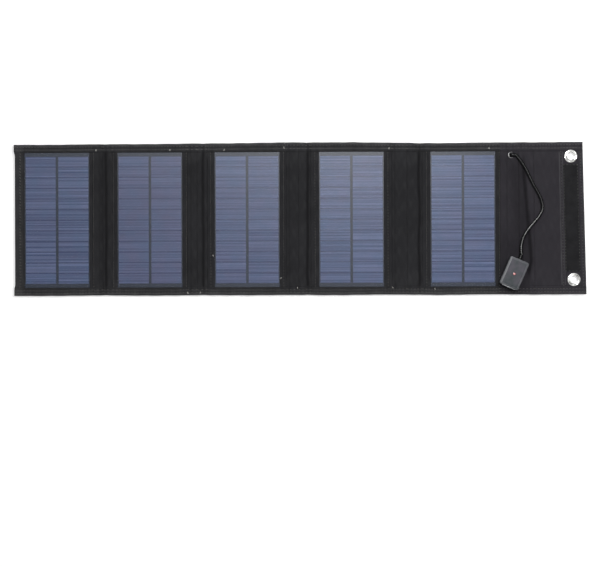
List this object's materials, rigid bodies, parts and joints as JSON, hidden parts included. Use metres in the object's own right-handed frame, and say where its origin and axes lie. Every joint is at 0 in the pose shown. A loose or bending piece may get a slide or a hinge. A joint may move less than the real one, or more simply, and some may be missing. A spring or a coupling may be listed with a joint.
{
  "type": "folding solar panel",
  "caption": "Roll-up solar charger: blue modules in a black fabric cover, a hook-strip flap with eyelets, and a short lead to a USB box.",
  "frame": {"origin": "centre of the underside of the open panel, on the surface that it lies on", "axes": "+X along the row of panels towards the flap, +Y towards the edge where the lead comes out, +Z out of the modules' faces"},
  "size_m": [0.575, 0.1534, 0.016],
  "materials": {
    "cover_fabric": "black coated woven cloth, slight sheen",
    "flap_fabric": "thin black cloth, slightly purple",
    "pad_foam": "matt closed-cell foam",
    "board": "dark laminate",
    "cells": "blue polycrystalline cells with fine pale lines",
    "film": "clear glossy film",
    "copper_wire": "bare flat wire",
    "hook_tape": "black hook tape",
    "loop_tape": "black loop tape",
    "plated_metal": "bright nickel plating",
    "lead_rubber": "smooth black jacket with a sheen",
    "box_plastic": "dark grey, satin",
    "circuit_board": "green solder mask",
    "socket_steel": "plated steel",
    "socket_plastic": "black insulator",
    "lamp": "red clear lens"
  },
  "bodies": {
    "panel_1": {"back_cover_1": "cover_fabric", "front_cover_1": "cover_fabric", "pad_1": "pad_foam", "module_board_1": "board", "solar_cells_1": "cells", "cover_film_1": "film", "module_wires_1": "copper_wire"},
    "panel_2": {"back_cover_2": "cover_fabric", "front_cover_2": "cover_fabric", "pad_2": "pad_foam", "module_board_2": "board", "solar_cells_2": "cells", "cover_film_2": "film", "module_wires_2": "copper_wire"},
    "panel_3": {"back_cover_3": "cover_fabric", "front_cover_3": "cover_fabric", "pad_3": "pad_foam", "module_board_3": "board", "solar_cells_3": "cells", "cover_film_3": "film", "module_wires_3": "copper_wire"},
    "panel_4": {"back_cover_4": "cover_fabric", "front_cover_4": "cover_fabric", "pad_4": "pad_foam", "module_board_4": "board", "solar_cells_4": "cells", "cover_film_4": "film", "module_wires_4": "copper_wire", "loop_strip": "loop_tape"},
    "panel_5": {"back_cover_5": "cover_fabric", "front_cover_5": "cover_fabric", "pad_5": "pad_foam", "module_board_5": "board", "solar_cells_5": "cells", "cover_film_5": "film", "module_wires_5": "copper_wire"},
    "fold_1": {"fold_fabric_1": "cover_fabric", "link_wires_1": "copper_wire"},
    "fold_2": {"fold_fabric_2": "cover_fabric", "link_wires_2": "copper_wire"},
    "fold_3": {"fold_fabric_3": "cover_fabric", "link_wires_3": "copper_wire"},
    "fold_4": {"fold_fabric_4": "cover_fabric", "link_wires_4": "copper_wire"},
    "fold_5": {"fold_fabric_5": "flap_fabric", "link_wires_5": "copper_wire", "lead_ring": "plated_metal", "lead_elbow": "lead_rubber"},
    "flap": {"flap_front": "flap_fabric", "flap_back": "cover_fabric", "hook_strip": "hook_tape", "eyelet_faces": "plated_metal", "eyelet_backs": "plated_metal"},
    "lead": {"lead_cord": "lead_rubber"},
    "usb_box": {"usb_box_base": "box_plastic", "usb_box_lid": "box_plastic", "usb_board": "circuit_board", "usb_socket": "socket_steel", "usb_tongue": "socket_plastic", "usb_lamp": "lamp"}
  },
  "joints": [
    {"name": "fold_4_hinge", "type": "hinge", "parent": "panel_5", "child": "fold_4", "pos_m": [0.1207, 0, 0.0044], "axis": [0, 1, 0], "range_deg": [0, 90]},
    {"name": "panel_4_hinge", "type": "hinge", "parent": "fold_4", "child": "panel_4", "pos_m": [0.0964, 0, 0.0044], "axis": [0, 1, 0], "range_deg": [0, 90]},
    {"name": "fold_3_hinge", "type": "hinge", "parent": "panel_4", "child": "fold_3", "pos_m": [0.0081, 0, 0.0044], "axis": [0, 1, 0], "range_deg": [0, 90]},
    {"name": "panel_3_hinge", "type": "hinge", "parent": "fold_3", "child": "panel_3", "pos_m": [-0.0103, 0, 0.0044], "axis": [0, 1, 0], "range_deg": [0, 90]},
    {"name": "fold_2_hinge", "type": "hinge", "parent": "panel_3", "child": "fold_2", "pos_m": [-0.0973, 0, 0.0044], "axis": [0, 1, 0], "range_deg": [0, 90]},
    {"name": "panel_2_hinge", "type": "hinge", "parent": "fold_2", "child": "panel_2", "pos_m": [-0.1098, 0, 0.0044], "axis": [0, 1, 0], "range_deg": [0, 90]},
    {"name": "fold_1_hinge", "type": "hinge", "parent": "panel_2", "child": "fold_1", "pos_m": [-0.1955, 0, 0.0044], "axis": [0, 1, 0], "range_deg": [0, 90]},
    {"name": "panel_1_hinge", "type": "hinge", "parent": "fold_1", "child": "panel_1", "pos_m": [-0.2021, 0, 0.0044], "axis": [0, 1, 0], "range_deg": [0, 90]},
    {"name": "fold_5_hinge", "type": "hinge", "parent": "panel_5", "child": "fold_5", "pos_m": [0.2096, 0, 0.0087], "axis": [0, -1, 0], "range_deg": [0, 90]},
    {"name": "flap_hinge", "type": "hinge", "parent": "fold_5", "child": "flap", "pos_m": [0.2338, 0, 0.0057], "axis": [0, -1, 0], "range_deg": [0, 90]},
    {"name": "lead_swing", "type": "hinge", "parent": "fold_5", "child": "lead", "pos_m": [0.214, 0.0641, 0.0063], "axis": [-1, 0, 0], "range_deg": [0, 180]},
    {"name": "usb_box_turn", "type": "hinge", "parent": "lead", "child": "usb_box", "pos_m": [0.223, -0.03905, 0.0078], "axis": [0, 0, 1], "range_deg": [-30, 30]}
  ],
  "couplings": [
    {"joint": "panel_4_hinge", "follows": "fold_4_hinge", "ratio": 1},
    {"joint": "panel_3_hinge", "follows": "fold_3_hinge", "ratio": 1},
    {"joint": "panel_2_hinge", "follows": "fold_2_hinge", "ratio": 1},
    {"joint": "panel_1_hinge", "follows": "fold_1_hinge", "ratio": 1},
    {"joint": "flap_hinge", "follows": "fold_5_hinge", "ratio": 1},
    {"joint": "lead_swing", "follows": "fold_5_hinge", "ratio": 2}
  ]
}
